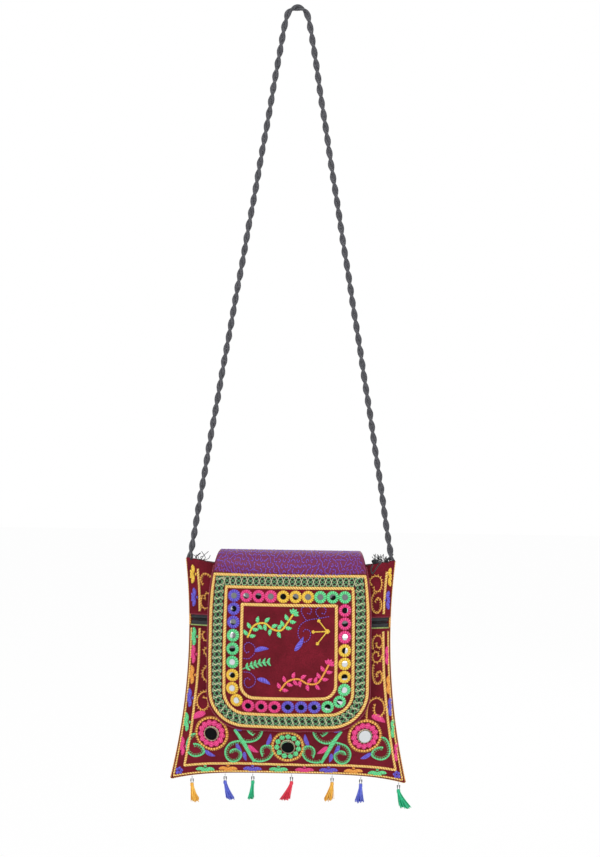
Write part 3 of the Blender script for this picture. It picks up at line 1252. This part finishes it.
rng = np.random.default_rng(3)
BROCADE_REACH = 0.082               # of the outermost curls from the middle
CURL_ROWS = np.arange(-0.0205, 0.0075, 0.0041)
CURL_COLUMNS = np.arange(-BROCADE_REACH, BROCADE_REACH + 0.0001, 0.0049)
CURL_SHIFT = 0.0024                 # of every other row
squiggles = []
t = np.linspace(-1, 1, 13)
for row, centre_path in enumerate(CURL_ROWS):
    for centre_x in CURL_COLUMNS + (CURL_SHIFT if row % 2 else 0.0):
        if abs(centre_x) > BROCADE_REACH:
            continue
        turn = rng.uniform(0, 2 * math.pi)
        bow, reach = rng.uniform(1.4, 2.6), rng.uniform(0.0026, 0.0034)
        swing = turn + bow * t * (1 if rng.random() < 0.6 else t)
        steps = np.stack([np.cos(swing), np.sin(swing)], axis=-1) * reach / 6
        curl = np.cumsum(steps, axis=0)
        curl += [centre_x, centre_path] - curl.mean(axis=0)
        squiggles.append(plain_stitch(curl, 0.0007, 0.0004, brocade))
piece("brocade_squiggles", squiggles, BROCADE_THREAD)

# %% Red piping round the flap
share = np.linspace(0.012, 0.988, 130)
edge_path = share * flap_end(FLAP_WIDTH / 2)
side_edge = np.stack([FLAP_WIDTH / 2 + 0 * edge_path, edge_path], axis=-1)
edge_x = np.linspace(-1, 1, 160) * FLAP_WIDTH / 2 * 0.999
low_edge = np.stack([edge_x, flap_end(edge_x)], axis=-1)
whole_edge = np.vstack([side_edge * [-1, 1], low_edge, side_edge[::-1]])
edge_points = flap_path(whole_edge[:, 0], whole_edge[:, 1], -CLOTH / 2)
piece("flap_piping", roll(curve(edge_points, 0.0009), 0.0010, pitch=0.003), FLOSS["wine"])

# %% [markdown]
# ## Zips
# A nylon coil zip runs under the flap and another closes the mouth. Each has two woven
# tapes and a coil, drawn here as a flat helix with one turn for each tooth, 1.3 mm apart.

# %% Zip tapes
TAPE, TAPE_GAP = 0.0005, 0.0013     # a tape's thickness, and its edge from the coil's line
share = np.linspace(-0.985, 0.985, 120)
for word, first, last in (("upper", -ZIP_SHOW / 2 - TAPE_TUCK, -TAPE_GAP),
                          ("lower", TAPE_GAP, ZIP_SHOW / 2 + TAPE_TUCK)):
    drop = ZIP_DROP + np.linspace(first, last, 8)[:, None] + 0 * share
    x = share * half_width(drop)
    piece("front_tape_" + word, slab(body(x, drop, -1, -CLEARANCE),
                                     body(x, drop, -1, -CLEARANCE - TAPE)),
          ZIP_TAPE, "front_zip_tape_" + word)
TOP_ZIP_REACH = 0.85


def mouth_point(u, across_share, lift=0.0):
    """A point on the closed mouth, from the front edge (-1) to the back (1)."""
    drop = mouth_line(u)
    x = u * half_width(drop)
    depth = half_depth(x, drop) - CLEARANCE / 2
    return np.stack([x + 0 * across_share, across_share * depth,
                     -STRAP_DROP - drop - 2 * CLEARANCE + lift + 0 * across_share], axis=-1)


run = np.linspace(-TOP_ZIP_REACH, TOP_ZIP_REACH, 110)
for word, sign in (("front", -1), ("back", 1)):
    depth = half_depth(run * half_width(mouth_line(run)), mouth_line(run))
    gap = 0.0015 / np.maximum(depth, 0.002)
    strip = np.stack([mouth_point(run, sign * (1 - f * (1 - gap)))
                      for f in np.linspace(0, 1, 6)])
    piece("top_tape_" + word, slab(strip, strip - [0, 0, TAPE]), ZIP_TAPE,
          "top_zip_tape_" + word)


# %% Zip coils
COIL_PITCH, COIL_WIRE = 0.0013, 0.00028


def coil(line, width_axis, lift_axis, width, height):
    """A wire round a line: c + w/2*cos(a) across and h/2*sin(a) up, one turn a pitch."""
    line = curve(line, COIL_PITCH / 10)
    reach = lengths(line) * MM
    turn = 2 * math.pi * reach / COIL_PITCH
    centre = line + width_axis * (width / 2 * np.cos(turn))[:, None] + lift_axis * (
        height / 2 * np.sin(turn))[:, None]
    return wire(centre, COIL_WIRE)


u = np.linspace(-0.97, 0.97, 90)
Y_AXIS, Z_AXIS = np.array([0, 1.0, 0]), np.array([0, 0, 1.0])
line = body(u * half_width(ZIP_DROP), ZIP_DROP + 0 * u, -1, 0.0)
piece("front_coil", coil(line, Z_AXIS, Y_AXIS, 0.0020, 0.0008), FLOSS["black"],
      "front_zip_coil")
line = mouth_point(u * TOP_ZIP_REACH, 0.0, 0.0002)
piece("top_coil", coil(line, Y_AXIS, Z_AXIS, 0.0020, 0.0008), FLOSS["black"],
      "top_zip_coil")

# %% Piping beside the front zip
u = np.linspace(-0.985, 0.985, 300)
for word, drop, colour in (("lower", ZIP_DROP + ZIP_SHOW / 2, "lime"),
                           ("upper", ZIP_DROP - ZIP_SHOW / 2, "wine")):
    line = front(u * half_width(drop), drop + 0 * u, -0.0004)
    piece("zip_piping_" + word, roll(curve(line, 0.0009), 0.0008, pitch=0.0024),
          FLOSS[colour])

# %% [markdown]
# The top zip's tape ends are tucked at the corners, and the right one is frayed: a few
# loose black threads stand up beside the cord, drawn thicker than real ones so they show.

# %% Frayed ends of the top zip
FRAYED_RADIUS = 0.00036
rng = np.random.default_rng(5)
threads = []
for side, count in ((1, 30), (-1, 9)):
    for _ in range(count):
        foot = np.array([side * rng.uniform(0.094, 0.106), rng.normal(-0.001, 0.0012),
                         -STRAP_DROP - 0.003])
        lean = np.array([side * rng.normal(-0.002, 0.004), rng.normal(-0.001, 0.002),
                         0.004 + 0.006 * rng.random()])
        bend = rng.normal(0, 0.0016, 3)
        threads.append(wire(curve([foot, foot + lean * 0.5 + bend, foot + lean], 0.0008),
                            FRAYED_RADIUS))
loop_points = np.array([(0.0885, -0.013, -0.592), (0.0868, -0.0150, -0.596),
                        (0.0880, -0.0170, -0.601), (0.0905, -0.0165, -0.598),
                        (0.0940, -0.0140, -0.593), (0.0985, -0.0090, -0.589)])
threads.append(wire(curve(loop_points, 0.0008), 0.0007, 6))
piece("frayed_tape_threads", threads, FLOSS["black"])

# %% Tape ends tucked at the corners
tape_ends = []
for side, first, last, tall in ((1, 0.088, 0.106, 0.0075), (-1, 0.096, 0.108, 0.0035)):
    u, v = np.meshgrid(np.linspace(0, 1, 14), np.linspace(0, 1, 8))
    x = side * (first + (last - first) * u) + 0.0007 * np.sin(9 * u + 5 * v)
    crest = tall * (0.55 + 0.45 * np.sin(7 * u + 0.6)) * v
    y = -0.0018 + 0.0012 * np.sin(11 * u + 2 * v) - 0.001 * v
    drop = mouth_line(x / half_width(0.0 * x))
    face = np.stack([x, y, -STRAP_DROP - drop - 0.002 + crest], axis=-1)
    tape_ends.append(slab(face, face + [0, 0.0006, 0]))
piece("tucked_tape_ends", tape_ends, ZIP_TAPE)

# %% [markdown]
# ## Tassels
# Each tassel is a bundle of rayon floss, bound at the neck and cut about level below, and
# hangs by a thread with small beads. Ninety curved strands make the bundle; a cone with a
# striped bump would look solid from near. Real strands are finer and more, and these are
# as coarse as they need to be to show. Each one takes its own tone from its UV.

# %% Tassel strands
TASSEL_X = (-0.104, -0.068, -0.038, 0.004, 0.048, 0.079, 0.120)
TASSEL_COLOURS = ("yellow", "blue", "green", "red", "yellow", "blue", "green")
TASSEL_LEAN = (0.20, 0.34, -0.10, -0.38, -0.20, -0.06, 0.42)
TASSEL_SPREAD = (1.0, 0.8, 0.55, 1.25, 1.15, 1.1, 1.5)
TASSEL_NECK, SKIRT_LENGTH = 0.0040, 0.0175
NECK_RADIUS, FOOT_GROWTH = 0.0012, 0.0034
STRANDS, STRAND_RADIUS = 90, 0.00036


def tassel(top, lean, wide, seed):
    """Strands from a tight neck to a spread foot: radius a + b*t^1.2, bowed at random."""
    rng = np.random.default_rng(seed)
    strands = []
    t = np.linspace(0, 1, 8)
    for _ in range(STRANDS):
        angle, spread = rng.uniform(0, 2 * math.pi), math.sqrt(rng.random())
        length = SKIRT_LENGTH * rng.uniform(0.84, 1.0) + TASSEL_NECK * 0.5
        radius = spread * (NECK_RADIUS + FOOT_GROWTH * wide * t ** 1.2)
        swing = angle + rng.normal(0, 0.3) * t
        stray = rng.normal(0, 0.0006, 2)[:, None] * t ** 2
        x = top[0] + radius * np.cos(swing) + lean * length * t ** 1.3 + stray[0]
        y = top[1] + radius * np.sin(swing) + stray[1]
        z = top[2] - TASSEL_NECK * 0.5 - length * t
        vertices, faces, uv = wire(np.stack([x, y, z], axis=-1), STRAND_RADIUS)
        strands.append((vertices, faces, uv + [0, rng.uniform(0, 9)]))
    neck = np.linspace(0, 1, 26)
    bulge = 0.0017 + 0.0004 * np.abs(np.sin(neck * math.pi * 4))
    bulge *= np.where(neck < 0.15, 0.4 + 4 * neck, 1.0)
    line = np.stack([top[0] + 0 * neck, top[1] + 0 * neck,
                     top[2] - TASSEL_NECK * (0.25 + 0.9 * neck)], axis=-1)
    strands.append(wire(line, bulge, 12))
    return strands


# %% Beads and strings of the tassels
def bead(centre, radius, tall=1.0):
    """A small ball, a little taller than wide: latitude rings with closed poles."""
    lat = np.linspace(-math.pi / 2 * 0.96, math.pi / 2 * 0.96, 9)[:, None]
    lon = np.linspace(0, 2 * math.pi, 12, endpoint=False)[None]
    points = np.stack([centre[0] + radius * np.cos(lat) * np.cos(lon),
                       centre[1] + radius * np.cos(lat) * np.sin(lon),
                       centre[2] + radius * tall * np.sin(lat) + 0 * lon], axis=-1)
    return grid(points, np.arange(9.0), np.arange(13.0), close_columns=True, caps=True)


# how far below the top, the radius and how tall for its width
WHITE_BEADS = ((0.0024, 0.0008, 1.0), (0.0038, 0.0007, 1.3), (0.0049, 0.0008, 1.0))
for number, (x, colour, lean, wide) in enumerate(
        zip(TASSEL_X, TASSEL_COLOURS, TASSEL_LEAN, TASSEL_SPREAD), 1):
    top = np.array([x, 0.0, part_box("tassel_%d_beads" % number)[1][2]])
    thread = curve([top + [0, 0, 0.0006], top - [0, 0, 0.0026], top - [0, 0, 0.0048]],
                   THREAD_STEP)
    beads = [bead(top - [0, 0, below], radius, tall)
             for below, radius, tall in WHITE_BEADS]
    beads.append(wire(thread, 0.00030))
    piece("tassel_%d_white_beads" % number, beads, BEAD,
          "tassel_%d_beads" % number, rides="tassel_%d_beads" % number)
    legs = []
    for side in (-1, 1):
        leg = curve([top + [side * 0.0010, 0, -0.0044], top + [side * 0.0013, 0, -0.0064],
                     top + [side * 0.0010, 0, -0.0090]], THREAD_STEP)
        legs.append(wire(leg, STRAND_RADIUS))
        legs += [bead(top + [side * 0.0012, 0, drop], 0.0007)
                 for drop in (-0.0050, -0.0064)]
    piece("tassel_%d_string" % number, legs, DARK_THREAD,
          rides="tassel_%d_beads" % number)
    skirt_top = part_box("tassel_%d_skirt" % number)[1][2]
    piece("tassel_%d_strands" % number,
          tassel(np.array([x, 0.0, skirt_top]), lean, wide, number),
          TASSEL_FLOSS[colour], "tassel_%d_skirt" % number,
          rides="tassel_%d_skirt" % number)

# %% [markdown]
# ## The back
# The back is plain velvet, as on most such bags. The flap is sewn to it by two rows of
# running stitch, and the same thread shows along the side seams and the hem.

# %% Stitch rows on the back
BACK_STITCH = (5, 2, 0.0008, 0.0005)   # points long, points between, width and height
rows_of_stitches = []
for inset in (0.0020, 0.0070):
    x = np.arange(-FOLD_WIDTH / 2 + 0.002, FOLD_WIDTH / 2 - 0.002, THREAD_STEP)
    path = np.stack([x, -FOLD_SPAN - BACK_TUCK + inset + 0 * x], axis=-1)
    rows_of_stitches += dashed(path, flap_path, *BACK_STITCH)
piece("back_seam_stitches", rows_of_stitches, FLOSS["wine"])
side_rows = []
for side in (-1, 1):
    down = np.arange(0.014, 0.222, THREAD_STEP)
    path = np.stack([side * (half_width(down) - 0.006), down], axis=-1)
    side_rows += dashed(path, back, *BACK_STITCH)
x = np.arange(-0.118, 0.118, THREAD_STEP)
side_rows += dashed(np.stack([x, hem_drop(x, 0.007)], axis=-1), back, *BACK_STITCH)
piece("back_edge_stitches", side_rows, FLOSS["wine"])

# %% [markdown]
# ## Floor, light and background
# A large soft key from the upper left front and a weaker fill from the right light the bag
# evenly. The floor and the world are pure white for the camera, and the floor keeps a part
# of its own shading, where the bag's soft shadow shows.

# %% Floor
FLOOR_HEIGHT, FLOOR_HALF = -1.12, 6.0


def card(name, corners, material):
    """A flat four-cornered card of the studio."""
    mesh = bpy.data.meshes.new(name)
    mesh.from_pydata(corners, [], [(0, 1, 2, 3)])
    mesh.materials.append(material)
    made = bpy.data.objects.new(name, mesh)
    bpy.context.scene.collection.objects.link(made)
    return made


def camera_or_gloss(tree):
    """Light Path's node, and a node that is 1 for the camera and in reflections."""
    ray = add(tree, "ShaderNodeLightPath")
    return ray, add(tree, "ShaderNodeMath", {"operation": "MAXIMUM"},
                    {0: ray.outputs["Is Camera Ray"], 1: ray.outputs["Is Glossy Ray"]})


GLOW_SHARE = 0.97                   # the rest of the floor's look is its own shading
paper, tree, shader = new_finish("white_paper", Roughness=0.9)
shader.inputs["Base Color"].default_value = (0.86, 0.86, 0.86, 1.0)
glow = add(tree, "ShaderNodeEmission", {"Color": (1, 1, 1, 1), "Strength": 1.0})
ray, seen = camera_or_gloss(tree)
share = add(tree, "ShaderNodeMath", {"operation": "MULTIPLY", 1: GLOW_SHARE},
            {0: seen.outputs[0]})
mix = add(tree, "ShaderNodeMixShader", {}, {0: share.outputs[0], 1: shader.outputs[0],
                                            2: glow.outputs[0]})
tree.links.new(mix.outputs[0], tree.nodes["Material Output"].inputs["Surface"])
card("floor", [(x * FLOOR_HALF, y * FLOOR_HALF, FLOOR_HEIGHT)
               for x, y in ((-1, -1), (1, -1), (1, 1), (-1, 1))], paper)
print("floor at", FLOOR_HEIGHT)

# %% [markdown]
# Most mirrors look dark in the photograph, and the upper ones grey. Cards in front of the
# bag, which only reflections can see, give them that. A grey glass would look dull instead.

# %% Cards for the mirrors
def plain_finish(name, grey):
    """A finish that only glows with a grey, whatever the lamps do."""
    material, tree, shader = new_finish(name, Roughness=1.0, Specular_IOR_Level=0.0)
    shader.inputs["Base Color"].default_value = (0.0, 0.0, 0.0, 1.0)
    shader.inputs["Emission Color"].default_value = (1.0, 1.0, 1.0, 1.0)
    shader.inputs["Emission Strength"].default_value = grey
    return material


def upright(left, right, foot, top):
    """The corners of an upright card in front of the bag."""
    return [(x, CARD_FRONT, z) for x, z in ((left, foot), (right, foot), (right, top),
                                            (left, top))]


CARD_FRONT, CARD_FOOT, CARD_TOP = -1.0, FLOOR_HEIGHT + 0.01, -0.60
LEVEL_CARD = [(-0.62, -0.12, CARD_FOOT), (0.20, -0.12, CARD_FOOT),
              (0.20, CARD_FRONT, CARD_FOOT), (-0.62, CARD_FRONT, CARD_FOOT)]
dark, grey = plain_finish("dark_card", 0.012), plain_finish("grey_card", 0.30)
for name, finish, corners in (
        ("upright_card", dark, upright(-0.75, 0.75, CARD_FOOT, CARD_TOP)),
        ("level_card", dark, LEVEL_CARD),
        ("upper_card", grey, upright(-0.55, 0.75, CARD_TOP, 0.1))):
    made = card(name, corners, finish)
    made.visible_camera = made.visible_diffuse = made.visible_shadow = False
    made.visible_transmission = made.visible_volume_scatter = False
    print(name, "shows in reflections only")

# %% World and lamps
world = bpy.data.worlds.new("studio")
world.use_nodes = True
bpy.context.scene.world = world
tree = world.node_tree
backdrop = tree.nodes["Background"]
ray, seen = camera_or_gloss(tree)
white = add(tree, "ShaderNodeMath", {"operation": "MAXIMUM"},
            {0: seen.outputs[0], 1: ray.outputs["Is Transmission Ray"]})
# 0.55 is the light that falls on the bag, and 1 is white to the eye.
strength = add(tree, "ShaderNodeMapRange", {"To Min": 0.55, "To Max": 1.0},
               {"Value": white.outputs[0]})
backdrop.inputs["Color"].default_value = (1, 1, 1, 1)
tree.links.new(strength.outputs[0], backdrop.inputs["Strength"])


def soft_lamp(name, place, aim, size, power):
    """A square area lamp that faces its aim: its -Z axis points there."""
    lamp = bpy.data.objects.new(name, bpy.data.lights.new(name, "AREA"))
    lamp.data.shape, lamp.data.size, lamp.data.energy = "SQUARE", size, power
    back_axis = np.array(place) - np.array(aim)
    back_axis /= np.linalg.norm(back_axis)
    side_axis = np.cross([0, 0, 1.0], back_axis)
    side_axis /= np.linalg.norm(side_axis)
    top_axis = np.cross(back_axis, side_axis)
    lamp.matrix_world = Matrix([[*axis, spot] for axis, spot in
                                zip(zip(side_axis, top_axis, back_axis), place)]).to_4x4()
    bpy.context.scene.collection.objects.link(lamp)


AIM = (0.0, 0.0, -0.6)
soft_lamp("key", (-1.0, -1.7, 0.6), AIM, 1.2, 26)
soft_lamp("fill", (1.5, -1.3, -0.2), AIM, 1.4, 12)
soft_lamp("back_light", (0.8, 1.8, 0.6), AIM, 1.4, 22)
bpy.context.scene.view_settings.view_transform = "Standard"
